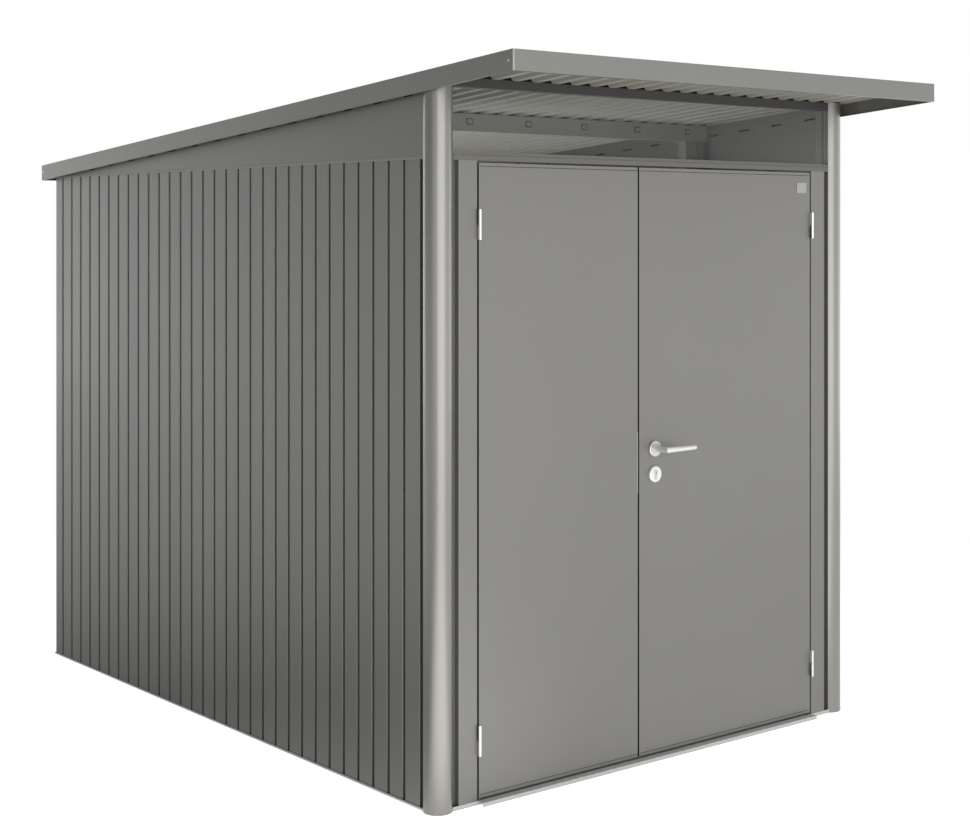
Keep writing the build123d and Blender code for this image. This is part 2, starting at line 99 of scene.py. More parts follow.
# %% One function that adds a node
def add(tree, kind, settings=None, **inputs):
    """Add a node. Its inputs are given by title, or by number as i0, i1 and so on."""
    node = tree.nodes.new(kind)
    for name, value in (settings or {}).items():
        setattr(node, name, value)
    for name, value in inputs.items():
        title = name.replace("_", " ")
        socket = node.inputs[title] if title in node.inputs else node.inputs[int(name[1:])]
        if isinstance(value, bpy.types.NodeSocket):
            tree.links.new(value, socket)
        else:
            socket.default_value = value
    return node


def linear(hex_colour, share=1.0):
    """An sRGB hex colour as the linear values of a shader, made darker or paler by a share."""
    levels = [int(hex_colour[i : i + 2], 16) / 255 for i in (1, 3, 5)]
    light = [v / 12.92 if v <= 0.04045 else ((v + 0.055) / 1.055) ** 2.4 for v in levels]
    return [v * share for v in light] + [1.0]


def empty_material(name):
    """A material with nothing in it yet but the object's own coordinates."""
    material = bpy.data.materials.new(name)
    material.use_nodes = True
    tree = material.node_tree
    tree.nodes.clear()
    return material, tree, add(tree, "ShaderNodeTexCoord").outputs["Object"]


print("a middle grey of #808080 is", round(linear("#808080")[0], 3), "to a shader")

# %% [markdown]
# ## Baked enamel on galvanised sheet
# The walls, doors, posts and fascias are steel coil, zinc coated and then coated with a grey enamel
# that holds fine metal flakes, baked on before the sheet is folded. It gives the eye a satin grey
# that brightens softly where a wide light mirrors in it, with a very fine orange peel and no flaws.
# The real flakes are finer than a tenth of a millimetre. They are drawn coarser, because such fine
# ones wouldn't show.

# %% Enamel, in a function because each group of sheets has its own shade
flake_mm, peel_mm, cloud_mm = 1.4, 9.0, 450.0
flake_share, cloud_share, gloss_share = 0.05, 0.02, 0.02
noise_low, noise_high = 0.3, 0.7


def enamel(name, hex_colour, roughness, metallic):
    material, tree, place = empty_material(name)
    flakes = add(
        tree,
        "ShaderNodeTexNoise",
        Vector=place,
        Scale=1 / (flake_mm * MM),
        Detail=2.0,
        Roughness=0.6,
    )
    clouds = add(
        tree,
        "ShaderNodeTexNoise",
        Vector=place,
        Scale=1 / (cloud_mm * MM),
        Detail=3.0,
        Roughness=0.55,
    )
    speck = add(
        tree,
        "ShaderNodeMix",
        {"data_type": "RGBA"},
        i0=flakes.outputs["Fac"],
        i6=linear(hex_colour, 1 - flake_share),
        i7=linear(hex_colour, 1 + flake_share),
    )
    tone = add(
        tree,
        "ShaderNodeMapRange",
        i0=clouds.outputs["Fac"],
        i1=noise_low,
        i2=noise_high,
        i3=1 - cloud_share,
        i4=1 + cloud_share,
    )
    colour = add(
        tree,
        "ShaderNodeVectorMath",
        {"operation": "SCALE"},
        i0=speck.outputs[2],
        i3=tone.outputs[0],
    )
    spread = add(
        tree,
        "ShaderNodeMapRange",
        i0=clouds.outputs["Fac"],
        i1=noise_low,
        i2=noise_high,
        i3=roughness - gloss_share,
        i4=roughness + gloss_share,
    )
    peel = add(tree, "ShaderNodeTexNoise", Vector=place, Scale=1 / (peel_mm * MM), Detail=1.0)
    bump = add(
        tree, "ShaderNodeBump", Height=peel.outputs["Fac"], Strength=0.03, Distance=0.2 * MM
    )
    shader = add(
        tree,
        "ShaderNodeBsdfPrincipled",
        Base_Color=colour.outputs[0],
        Roughness=spread.outputs[0],
        Metallic=metallic,
        Normal=bump.outputs[0],
    )
    add(tree, "ShaderNodeOutputMaterial", Surface=shader.outputs[0])
    return material


# Sheet from the coil, with metal flakes
wall_enamel = enamel("baked_enamel_on_profiled_sheet", "#828280", 0.42, 0.75)
door_enamel = enamel("baked_enamel_on_flat_sheet", "#82817d", 0.42, 0.55)
post_enamel = enamel("baked_enamel_on_rolled_sheet", "#908f8b", 0.32, 0.75)
fascia_enamel = enamel("baked_enamel_on_folded_sheet", "#888884", 0.42, 0.7)
# Folded steel with a duller coat and fewer flakes; its darker copies on the header and on the beam
# above it are painted shade under the overhang
frame_enamel = enamel("matt_enamel_on_folded_steel", "#8c8b86", 0.5, 0.4)
painted_shade_enamel = enamel("matt_enamel_darkened_as_painted_shade", "#6e6d68", 0.5, 0.4)
painted_shade_beam_enamel = enamel("matt_enamel_darkened_as_painted_beam_shade", "#3a3936", 0.6, 0.2)
# The mill's pale coat on the inner face of the roof's coil, which holds no metal
roof_coat = enamel("backing_coat_on_roof_sheet", "#98968d", 0.55, 0.0)
print("enamel flakes are drawn", flake_mm, "mm wide, the orange peel", peel_mm, "mm")

# %% [markdown]
# ## Bare metals
# The base rails and the sill are left bare: zinc coated sheet, dulled by handling. The hinges are
# brushed stainless steel, the upper rose has a satin nickel plate, darker as painted shade under
# the lever, and the lever and the lower rose are aluminium with a satin anodised skin, which is
# softer and whiter. Brush lines are drawn coarser than the real ones, which are too fine to show.

# %% Bare metal, with fine brush lines along one axis
line_low, line_high = 0.25, 0.75


def bare_metal(name, hex_colour, roughness, line_mm, stretch, metallic=1.0):
    """stretch is small along the axis that the lines follow."""
    material, tree, place = empty_material(name)
    along = add(tree, "ShaderNodeMapping", Vector=place, Scale=stretch)
    lines = add(
        tree, "ShaderNodeTexNoise", Vector=along.outputs[0], Scale=1 / (line_mm * MM), Detail=3.0
    )
    tone = add(
        tree,
        "ShaderNodeMapRange",
        i0=lines.outputs["Fac"],
        i1=line_low,
        i2=line_high,
        i3=0.92,
        i4=1.06,
    )
    colour = add(
        tree,
        "ShaderNodeVectorMath",
        {"operation": "SCALE"},
        i0=linear(hex_colour)[:3],
        i3=tone.outputs[0],
    )
    spread = add(
        tree,
        "ShaderNodeMapRange",
        i0=lines.outputs["Fac"],
        i1=line_low,
        i2=line_high,
        i3=roughness - 0.05,
        i4=roughness + 0.05,
    )
    bump = add(
        tree, "ShaderNodeBump", Height=lines.outputs["Fac"], Strength=0.08, Distance=0.2 * MM
    )
    shader = add(
        tree,
        "ShaderNodeBsdfPrincipled",
        Base_Color=colour.outputs[0],
        Roughness=spread.outputs[0],
        Metallic=metallic,
        Normal=bump.outputs[0],
    )
    add(tree, "ShaderNodeOutputMaterial", Surface=shader.outputs[0])
    return material


zinc = bare_metal("zinc_coated_sheet", "#c4c4c2", 0.55, 2.0, (0.15, 1.0, 1.0), 0.5)
stainless = bare_metal("brushed_stainless_steel", "#e6e5e0", 0.35, 0.5, (1.0, 1.0, 0.05))
plate = bare_metal("brushed_badge_plate", "#a8a8a6", 0.4, 0.5, (0.05, 1.0, 1.0), 0.7)
anodised = bare_metal("satin_anodised_aluminium", "#ececea", 0.35, 0.4, (0.2, 1.0, 1.0), 0.5)
nickel = bare_metal("satin_nickel_plate", "#cccac6", 0.32, 0.4, (1.0, 1.0, 0.3))
print("bare metals:", zinc.name, stainless.name, plate.name, anodised.name, nickel.name)

# %% [markdown]
# ## Clear acrylic and dark foam
# The strip under the roof is glazed with a flat cast acrylic sheet. It is nearly invisible: light
# has to pass straight through it to show the purlins, so it is mostly see-through with a little
# gloss left on it. Where the roof sheet crosses a beam, a block of black foam closes each rib
# against wind and insects. The same matt black stands for rubber rims, seals and the meshes behind
# the vents, and it is painted shade in the keyways and painted shadow along the hems of the leaves.

# %% Clear acrylic sheet
haze_mm = 1000 / 3  # a slow drift over a third of a metre


def clear_sheet(name, hex_colour, alpha):
    material, tree, place = empty_material(name)
    haze = add(tree, "ShaderNodeTexNoise", Vector=place, Scale=1 / (haze_mm * MM), Detail=2.0)
    spread = add(
        tree,
        "ShaderNodeMapRange",
        i0=haze.outputs["Fac"],
        i1=noise_low,
        i2=noise_high,
        i3=0.03,
        i4=0.06,
    )
    shader = add(
        tree,
        "ShaderNodeBsdfPrincipled",
        Base_Color=linear(hex_colour),
        Roughness=spread.outputs[0],
        Alpha=alpha,
    )
    add(tree, "ShaderNodeOutputMaterial", Surface=shader.outputs[0])
    return material


acrylic = clear_sheet("clear_cast_acrylic", "#eef2f0", 0.03)
print("made", acrylic.name)


# %% Closed cell foam and the dark of a slot
def foam(name, hex_colour, cell_mm):
    material, tree, place = empty_material(name)
    cells = add(tree, "ShaderNodeTexVoronoi", Vector=place, Scale=1 / (cell_mm * MM))
    colour = add(
        tree,
        "ShaderNodeMix",
        {"data_type": "RGBA"},
        i0=cells.outputs["Distance"],
        i6=linear(hex_colour, 0.7),
        i7=linear(hex_colour),
    )
    bump = add(
        tree, "ShaderNodeBump", Height=cells.outputs["Distance"], Strength=0.3, Distance=0.3 * MM
    )
    shader = add(
        tree,
        "ShaderNodeBsdfPrincipled",
        Base_Color=colour.outputs[2],
        Roughness=0.85,
        Specular_IOR_Level=0.15,
        Normal=bump.outputs[0],
    )
    add(tree, "ShaderNodeOutputMaterial", Surface=shader.outputs[0])
    return material


black_foam = foam("closed_cell_foam", "#0e0e0d", 1.2)
print("made", black_foam.name)

# %% [markdown]
# ## Laying the finishes on the pieces
# Each loaded piece has a slot of its own. Only the material in that slot is exchanged. The beam
# over the glazing lies in the dark of the overhang, and its coat is darkened as painted shade.

# %% Finish for every slot of the model
finish_of = {
    "wall_sheet": wall_enamel,
    "door_sheet": door_enamel,
    "door_frame": door_enamel,
    "post_steel": post_enamel,
    "fascia_sheet": fascia_enamel,
    "frame_steel": frame_enamel,
    "roof_sheet": roof_coat,
    "bare_zinc_sheet": zinc,
    "clear_acrylic": acrylic,
    "stainless_steel": stainless,
    "nickel_plate": nickel,
    "satin_aluminium": anodised,
}
record = frame["record"]
slot_of = {part["node"]: part["material_slot"] for part in record["subparts"]}
body_of = {
    node: body for body, names in record["behaviour"]["bodies"].items() for node in names
}
for name, piece in nodes.items():
    if not piece.data.materials:
        piece.data.materials.append(None)
    for index in range(len(piece.data.materials)):
        piece.data.materials[index] = finish_of[slot_of[name]]
# The beam's darker enamel is painted shade from the overhang
nodes["front_beam"].data.materials[0] = painted_shade_beam_enamel
print("finished", len(nodes), "pieces by", len(finish_of), "slots")

# %% [markdown]
# ## From a mesh to a piece
# Every new piece sits at the origin with its place in its mesh, rides on a body and takes the
# finish of its slot unless given one. Curved faces are shaded smooth and folds sharper than 30
# degrees stay crisp.

# %% Put a mesh in the scene as a piece
fold_angle = radians(30)


def link(piece):
    bpy.context.scene.collection.objects.link(piece)
    return piece


def piece_from(name, mesh, body, slot, material=None):
    mesh.materials.clear()
    mesh.materials.append(material or finish_of[slot])
    piece = link(bpy.data.objects.new(name, mesh))
    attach(piece, body)
    return piece


def mesh_from(name, bm):
    """Turn the faces outwards, keep the sharp folds sharp and make a plain mesh."""
    bmesh.ops.recalc_face_normals(bm, faces=bm.faces)
    for face in bm.faces:
        face.smooth = True
    for edge in bm.edges:
        edge.smooth = edge.calc_face_angle(pi) < fold_angle
    mesh = bpy.data.meshes.new(name)
    bm.to_mesh(mesh)
    bm.free()
    return mesh


print("folds sharper than", round(fold_angle * 180 / pi), "degrees stay crisp")

# %% [markdown]
# ## Folded edges
# A press brake can't fold a sharp corner: each fold of these sheets has a radius of one to a few
# millimetres, and it catches a thin line of light. The solids have sharp folds, so the pieces that
# show are copied, cleaned to flat faces and given their radius. A large flat face next to a small
# round fold must keep its own shading, which weighted normals do.

# %% A copy of a piece with clean flat faces
touch = 0.1 * MM


def clean_copy(node):
    bm = bmesh.new()
    bm.from_mesh(nodes[node].data)
    bmesh.ops.remove_doubles(bm, verts=bm.verts, dist=0.01 * MM)
    bmesh.ops.dissolve_limit(bm, angle_limit=radians(1), verts=bm.verts, edges=bm.edges)
    return bm


def dressed(node, bm):
    """Put a worked copy in the place of its piece."""
    name = node + "_dressed"
    piece = piece_from(name, mesh_from(name, bm), body_of[node], slot_of[node])
    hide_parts(node)
    return piece


def plain_faces(piece):
    """Keep the shading of each flat face flat, and turn the light only over its small folds."""
    weighted = piece.modifiers.new("plain_faces", "WEIGHTED_NORMAL")
    weighted.keep_sharp = True
    weighted.weight = 100
    return piece


def bevelled(piece, radius_mm, segments):
    """Round every fold of a piece with a small bevel."""
    bevel = piece.modifiers.new("folds", "BEVEL")
    bevel.width = radius_mm * MM
    bevel.segments = segments
    bevel.limit_method = "ANGLE"
    bevel.angle_limit = fold_angle
    bevel.harden_normals = True
    return piece


def softened(node, radius_mm, segments=2):
    """A copy of a piece with all its folds rounded."""
    print(node, "has all its folds rounded by", radius_mm, "mm")
    return bevelled(dressed(node, clean_copy(node)), radius_mm, segments)


def upright(edge):
    a, b = (vert.co for vert in edge.verts)
    return abs(a.x - b.x) < touch and abs(a.y - b.y) < touch


def rounded(node, bm, folds, radius_mm):
    """Round only the chosen folds of a copy, by their true radius."""
    bmesh.ops.bevel(
        bm,
        geom=folds,
        offset=radius_mm * MM,
        segments=3,
        profile=0.5,
        affect="EDGES",
        clamp_overlap=False,
    )
    print(node, "has", len(folds), "rounded folds")
    plain_faces(dressed(node, bm))


print("places nearer than", touch / MM, "mm count as one")


# %% Profiled walls: every groove is folded out of the face over a radius
def round_face(node, axis, place, radius_mm):
    """Round the upright folds that lie on one outer face."""
    bm = clean_copy(node)
    folds = [
        edge for edge in bm.edges if upright(edge) and abs(edge.verts[0].co[axis] - place) < touch
    ]
    rounded(node, bm, folds, radius_mm)


for side, outer in (("left", low), ("right", high)):
    for part in ("front", "middle", "rear"):
        name = f"{side}_wall_{part}"
        round_face(name, 0, outer(name).x, 1.5)
    corner = side + "_rear_corner"
    round_face(corner, 0, outer(corner).x, 1.8)
for name in ("rear_wall_left", "rear_wall_right"):
    round_face(name, 1, high(name).y, 1.8)

# %% Front strips, header, rails and sill
for name in ("left_front_strip", "right_front_strip"):
    round_face(name, 1, door_face, 1.5)
for name in ("door_header", "door_sill", "front_base_rail", "left_top_rail", "right_top_rail"):
    softened(name, 0.7)
# The header's darker enamel is painted shade under the roof's overhang
bpy.data.objects["door_header_dressed"].data.materials[0] = painted_shade_enamel

# %% Round front posts, smooth to the eye
for name in ("left_front_post", "right_front_post"):
    softened(name, 0.8)

# %% [markdown]
# ## Door leaves
# The face sheet of each leaf is folded back round both upright edges. At the head and the foot it
# turns in over a hem that lies a millimetre behind the face. The hem is brought forward until only
# a faint step is left, as the photograph shows it.

# %% Door leaves, with round upright edges
hem_height, hem_step, hem_shown = 10 * MM, 1.0 * MM, 0.2 * MM


def dressed_leaf(name):
    bm = clean_copy(name)
    for vert in bm.verts:
        if abs(vert.co.y - door_face - hem_step) < touch:
            vert.co.y = door_face + hem_shown
    ends = (low(name).x, high(name).x)
    folds = []
    for edge in bm.edges:
        place = edge.verts[0].co
        at_end = min(abs(place.x - end) for end in ends) < touch
        if upright(edge) and at_end and place.y < door_face + hem_step / 2:
            folds.append(edge)
    rounded(name, bm, folds, 1.2)


for name in ("left_door_leaf", "right_door_leaf"):
    dressed_leaf(name)

# %% [markdown]
# ## Fascias
# The front and the rear fascia are folded channels whose ends are wrapped round the corner and
# fixed to the side fascias by one rivet each. The channel is swept here along its plan, so that the
# wrapped corner has its radius while the flanges behind it stay mitred. The bent corner is drawn
# glossier than the flat faces, and in a paler enamel that is a painted highlight. The inner faces
# of
# the side fascias are in a darker enamel: partly the duller back coat of the coil, partly painted
# shade under the roof.

# %% Channel section and its sweep
sheet, fold = 1.5 * MM, 1.6 * MM  # thickness of the sheet and outer radius of its folds
hem_reach, flange_reach = 9 * MM, 25 * MM
corner_radius, wrap_length = 7 * MM, 32 * MM
rivet_rise = 0.5 * MM
skin_left, skin_right = roof_left + rivet_rise / 2, roof_right - rivet_rise / 2


def channel_section():
    """Section as (inward, drop): outside from the hem to the top flange, then back inside."""
    arc = [radians(a) for a in (0, 30, 60, 90)]
    hem_fold = [(fold * (1 - sin(a)), fascia_height - fold * (1 - cos(a))) for a in arc]
    top_fold = [(fold * (1 - cos(a)), fold * (1 - sin(a))) for a in arc]
    outside = [(hem_reach, fascia_height)] + hem_fold + top_fold + [(flange_reach, 0.0)]
    inside = [(flange_reach, sheet), (sheet, sheet)]
    inside += [(sheet, fascia_height - sheet), (hem_reach, fascia_height - sheet)]
    return outside + inside


def join_rings(bm, rings):
    """Faces between each ring of points and the next, and a face at both ends."""
    for first, second in zip(rings, rings[1:]):
        for i in range(len(first)):
            j = (i + 1) % len(first)
            bm.faces.new((first[i], first[j], second[j], second[i]))
    bm.faces.new(rings[0])
    bm.faces.new(rings[-1])


def swept_channel(name, node, stations):
    """Join the section along stations, which each turn a distance inward into a place in plan."""
    bm = bmesh.new()
    rings = []
    for station in stations:
        ring = []
        for inward, drop in channel_section():
            x, y = station(inward)
            ring.append(bm.verts.new((x, y, roof_plane(y, drop))))
        rings.append(ring)
    join_rings(bm, rings)
    piece = plain_faces(piece_from(name, mesh_from(name, bm), body_of[node], slot_of[node]))
    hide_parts(node)
    return piece


def second_finish(piece, material, chosen):
    """Give the faces that a test picks a second material."""
    piece.data.materials.append(material)
    for polygon in piece.data.polygons:
        if chosen(polygon):
            polygon.material_index = 1


print("the section of a fascia has", len(channel_section()), "corners")


# %% Front and rear fascia, each wrapped round two corners
def corner_station(corner_x, corner_y, to_x, to_y, angle):
    """A station on a rounded corner; to_x and to_y point from it to the middle of the roof."""

    def place(inward):
        centre = max(inward, corner_radius)
        radius = max(corner_radius - inward, 0.0)
        return (
            corner_x + to_x * (centre - radius * cos(angle)),
            corner_y + to_y * (centre - radius * sin(angle)),
        )

    return place


def end_fascia(node, y, to_y):
    turn = [radians(a) for a in range(0, 91, 15)]
    stations = [lambda d: (skin_left + d, y + to_y * wrap_length)]
    stations += [corner_station(skin_left, y, 1, to_y, a) for a in turn]
    stations += [corner_station(skin_right, y, -1, to_y, a) for a in reversed(turn)]
    stations += [lambda d: (skin_right - d, y + to_y * wrap_length)]
    piece = swept_channel(node + "_wrapped", node, stations)

    def in_the_turn(face):
        return min(abs(face.normal.x), abs(face.normal.y)) > 0.1

    # The turn takes the post's glossier and paler enamel; its paleness is a painted highlight
    second_finish(piece, post_enamel, in_the_turn)


end_fascia("front_fascia", roof_front, 1)
end_fascia("rear_fascia", roof_rear, -1)
print("two fascias are wrapped, with corners of", corner_radius / MM, "mm")


# %% Side fascias between the wrapped ends
def side_fascia(node, x, to_x):
    ends = (roof_front + wrap_length, roof_rear - wrap_length)
    stations = [lambda d, y=y: (x + to_x * d, y) for y in ends]
    piece = swept_channel(node + "_folded", node, stations)
    # The inner faces take the darker enamel: partly the back coat of the coil, partly painted shade
    second_finish(piece, painted_shade_enamel, lambda face: face.normal.x * to_x > 0.5)


side_fascia("left_fascia", skin_left, 1)
side_fascia("right_fascia", skin_right, -1)
print("two fascias are folded,", round(roof_rear - roof_front - 2 * wrap_length, 3), "m long")

# %% [markdown]
# ## Roof sheet
# One coil makes the roof: its outer face is enamelled like the fascias and its inner face has only
# the pale backing coat of the mill. The copy keeps the ribs, rounds their folds and gets one finish
# on each side.

# %% Roof sheet with two faces
roof = softened("roof_sheet", 1.2)
second_finish(roof, fascia_enamel, lambda face: face.normal.z > 0.05)
print("the roof sheet has", len(roof.data.polygons), "faces, enamelled where they look up")

# %% [markdown]
# ## Repeats
# Screws, foam blocks and clips are all rows of one shape. A row is a line of points with an
# instance of the shape on each, made real and kept as a plain mesh.

# %% A row of one shape, by Geometry Nodes
def row_tree():
    tree = bpy.data.node_groups.new("row_of_shapes", "GeometryNodeTree")
    sockets = {}
    for title, kind in (
        ("Shape", "NodeSocketObject"),
        ("Count", "NodeSocketInt"),
        ("Start", "NodeSocketVector"),
        ("Step", "NodeSocketVector"),
        ("Material", "NodeSocketMaterial"),
    ):
        socket = tree.interface.new_socket(title, in_out="INPUT", socket_type=kind)
        sockets[title] = socket.identifier
    tree.interface.new_socket("Geometry", in_out="OUTPUT", socket_type="NodeSocketGeometry")
    given = add(tree, "NodeGroupInput").outputs
    line = add(
        tree,
        "GeometryNodeMeshLine",
        {"mode": "OFFSET"},
        Count=given["Count"],
        Start_Location=given["Start"],
        Offset=given["Step"],
    )
    shape = add(tree, "GeometryNodeObjectInfo", Object=given["Shape"])
    placed = add(
        tree,
        "GeometryNodeInstanceOnPoints",
        Points=line.outputs[0],
        Instance=shape.outputs["Geometry"],
    )
    real = add(tree, "GeometryNodeRealizeInstances", Geometry=placed.outputs[0])
    finished = add(
        tree, "GeometryNodeSetMaterial", Geometry=real.outputs[0], Material=given["Material"]
    )
    add(tree, "NodeGroupOutput", Geometry=finished.outputs[0])
    return tree, sockets


row_group, row_sockets = row_tree()
print("a row takes", ", ".join(row_sockets))


# %% Rows joined into one piece
def row_mesh(name, shape, count, start, step, material):
    """The plain mesh of a row."""
    carrier = link(bpy.data.objects.new(name, bpy.data.meshes.new(name)))
    pattern = link(bpy.data.objects.new(name + "_shape", shape))
    modifier = carrier.modifiers.new("row", "NODES")
    modifier.node_group = row_group
    values = {"Shape": pattern, "Count": count, "Start": start, "Step": step, "Material": material}
    for title, value in values.items():
        modifier[row_sockets[title]] = value
    bpy.context.view_layer.update()
    evaluated = carrier.evaluated_get(bpy.context.evaluated_depsgraph_get())
    mesh = bpy.data.meshes.new_from_object(evaluated)
    for each in (carrier, pattern):
        bpy.data.objects.remove(each)
    return mesh


def rows(name, shape, lines, body, slot, material=None):
    """Join several rows of one shape, each given as (count, start, step)."""
    material = material or finish_of[slot]
    bm = bmesh.new()
    for count, start, step in lines:
        mesh = row_mesh(name, shape, count, start, step, material)
        bm.from_mesh(mesh)
        bpy.data.meshes.remove(mesh)
    piece = piece_from(name, mesh_from(name, bm), body, slot, material)
    shapes = sum(count for count, start, step in lines)
    print(name, "has", shapes, "shapes,", len(piece.data.polygons), "faces")


# %% Foam blocks in the ribs, over the front beam, both purlins and the rear beam
rib_pitch, rib_foot, rib_crown, rib_height = 79 * MM, 51 * MM, 28 * MM, 12.6 * MM
foam_depth, foam_lift, foam_set_back = 20 * MM, 0.2 * MM, 1.5 * MM


def foam_shape():
    bm = bmesh.new()
    half_foot, half_crown = rib_foot / 2, rib_crown / 2
    section = ((-half_foot, 0), (half_foot, 0), (half_crown, rib_height), (-half_crown, rib_height))
    ends = [
        [bm.verts.new((x, y, z - roof_slope * y + foam_lift)) for x, z in section]
        for y in (0.0, foam_depth)
    ]
    join_rings(bm, ends)
    return mesh_from("foam_block", bm)


def foam_line(node, ribs_each_side):
    y = low(node).y + foam_set_back
    start = (-ribs_each_side * rib_pitch, y, roof_plane(y, under_roof))
    return 2 * ribs_each_side + 1, start, (rib_pitch, 0.0, 0.0)


foam_lines = [foam_line("front_beam", 10)]
foam_lines += [foam_line(name, 11) for name in ("front_purlin", "middle_purlin", "rear_beam")]
rows("rib_foam_blocks", foam_shape(), foam_lines, "shell", "frame_steel", black_foam)

# %% Screws and rivets: a domed head, with a washer under the screws
head_sides = 16


def head_shape(name, head_mm, rise_mm, washer_mm=0.0):
    """A round head that rises along +Z, with an optional washer one millimetre thick."""
    bm = bmesh.new()
    profile = [(head_mm / 2, 0.0), (head_mm / 2, 0.45 * rise_mm), (head_mm / 3, 0.85 * rise_mm)]
    if washer_mm:
        washer = [(washer_mm / 2, 0.0), (washer_mm / 2, 0.8), (head_mm / 2, 1.0)]
        profile = washer + [(radius, rise + 1.0) for radius, rise in profile[1:]]
        rise_mm += 1.0
    turns = [2 * pi * i / head_sides for i in range(head_sides)]
    rings = [
        [bm.verts.new((radius * MM * cos(a), radius * MM * sin(a), rise * MM)) for a in turns]
        for radius, rise in profile
    ]
    tip = bm.verts.new((0.0, 0.0, rise_mm * MM))
    for first, second in zip(rings, rings[1:]):
        for i in range(head_sides):
            j = (i + 1) % head_sides
            bm.faces.new((first[i], first[j], second[j], second[i]))
    for i in range(head_sides):
        bm.faces.new((rings[-1][i], rings[-1][(i + 1) % head_sides], tip))
    bm.faces.new(rings[0])
    return mesh_from(name, bm)


print("heads are drawn with", head_sides, "sides")

# %% Roof screws, in the valleys of the sheet over every beam and purlin
screws_across, screw_lift = 11, 1.2 * MM
first_valley, valley_step = -10.5 * rib_pitch, 2 * rib_pitch
roof_lines = []
for name in ("front_beam", "front_purlin", "middle_purlin", "rear_beam"):
    y = (low(name).y + high(name).y) / 2
    start = (first_valley, y, roof_plane(y, under_roof) + screw_lift)
    roof_lines.append((screws_across, start, (valley_step, 0.0, 0.0)))
rows("roof_screws", head_shape("roof_screw", 8, 5, 14), roof_lines, "shell", "stainless_steel")

# %% Rivets at the wrapped corners of the fascias
rivet_back = 19 * MM


def corner_rivets(side, x, to_x):
    """Two flat rivets that point along X, outwards by the sign of to_x."""
    rivet = head_shape("rivet", 8, rivet_rise / MM)
    for vert in rivet.vertices:
        up_x, up_y, up_z = vert.co
        vert.co = (to_x * up_z, up_y, up_x)
    bm = bmesh.new()
    bm.from_mesh(rivet)
    lines = [
        (1, (x, y, roof_plane(y, fascia_height / 2)), (0.0, 0.0, 0.0))
        for y in (roof_front + rivet_back, roof_rear - rivet_back)
    ]
    rows(side + "_fascia_rivets", mesh_from("rivet", bm), lines, "shell", "stainless_steel")


corner_rivets("left", roof_left + rivet_rise, -1)
corner_rivets("right", roof_right - rivet_rise, 1)


# %% Clips on both purlins: small square plugs in a dark rubber rim
def plug_shape(name, half_x, half_z, rise, corner):
    """A square plate with cut corners that stands out toward -Y."""
    section = [(half_x, half_z - corner), (half_x - corner, half_z)]
    section += [(-x, z) for x, z in reversed(section)]
    section += [(-x, -z) for x, z in section]
    bm = bmesh.new()
    join_rings(bm, [[bm.verts.new((x, y, z)) for x, z in section] for y in (0.0, -rise)])
    return mesh_from(name, bm)


clip_pitch, clips_each_side, clip_drop = 263.4 * MM, 3, 26 * MM
clip_lines = []
for name in ("front_purlin", "middle_purlin"):
    y = low(name).y
    start = (-clips_each_side * clip_pitch, y, roof_plane(y, under_roof + clip_drop))
    clip_lines.append((2 * clips_each_side + 1, start, (clip_pitch, 0.0, 0.0)))
rim = plug_shape("clip_rim", 14 * MM, 11 * MM, 1.2 * MM, 3 * MM)
rows("purlin_clip_rims", rim, clip_lines, "shell", "frame_steel", black_foam)
plug = plug_shape("clip_plug", 11 * MM, 8 * MM, 2.4 * MM, 2 * MM)
rows("purlin_clip_plugs", plug, clip_lines, "shell", "frame_steel")

# %% Mesh behind the vent slots of the gables
vent_length, vent_height, vent_thickness = 50 * MM, 7 * MM, 0.4 * MM
vent_first, vent_step, vents_a_side = front_plane + 113 * MM, 2 * 79.1 * MM, 14
vent_drop, vent_gap = 59.5 * MM, 0.2 * MM


def vent_shape():
    """A thin strip that leans with the roof."""
    bm = bmesh.new()
    fall = roof_slope * vent_length
    outline = ((0, 0), (vent_length, -fall), (vent_length, vent_height - fall), (0, vent_height))
    faces = (-vent_thickness / 2, vent_thickness / 2)
    join_rings(bm, [[bm.verts.new((x, y, z)) for y, z in outline] for x in faces])
    return mesh_from("vent_mesh", bm)


vent_lines = []
for x in (high("left_gable_panel").x + vent_gap, low("right_gable_panel").x - vent_gap):
    start = (x, vent_first, roof_plane(vent_first, vent_drop))
    vent_lines.append((vents_a_side, start, (0.0, vent_step, -roof_slope * vent_step)))
rows("vent_meshes", vent_shape(), vent_lines, "shell", "frame_steel", black_foam)

# %% [markdown]
# ## Handle
# A round lever set in satin aluminium. The neck leaves the rose wide and narrows to the elbow,
# where the grip joins in a mitre, and the grip tapers to a rounded tip. Both levers are turned from
# one outline.

# %% A tapered tube along a path in plan, with true mitres
tube_sides = 32


def tube(bm, path, radii):
    points = [Vector(p) for p in path]
    runs = [(b - a).normalized() for a, b in zip(points, points[1:])]
    up = Vector((0, 0, 1))
    rings = []
    for i, (point, radius) in enumerate(zip(points, radii)):
        into = runs[max(i - 1, 0)]
        out = runs[min(i, len(runs) - 1)]
        mitre = (into + out).normalized()
        side = into.cross(up)
        ring = []
        for k in range(tube_sides):
            angle = 2 * pi * k / tube_sides
            across = radius * (cos(angle) * side + sin(angle) * up)
            slide = across.dot(mitre) / into.dot(mitre)
            ring.append(bm.verts.new(point + across - into * slide))
        rings.append(ring)
    join_rings(bm, rings)


print("tubes are drawn with", tube_sides, "sides")

# %% Both levers, one outline mirrored through the door
lever_low, lever_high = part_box("door_lever")
lever_middle = (lever_low.y + lever_high.y) / 2
spindle_x = lever_low.x + 12.5 * MM
spindle_z = (lever_low.z + lever_high.z) / 2
neck_start = low("handle_roses").y - 0.6 * MM
elbow_radius = 9.4
elbow_y = lever_low.y + elbow_radius * MM
tip_x = lever_high.x - 3 * MM
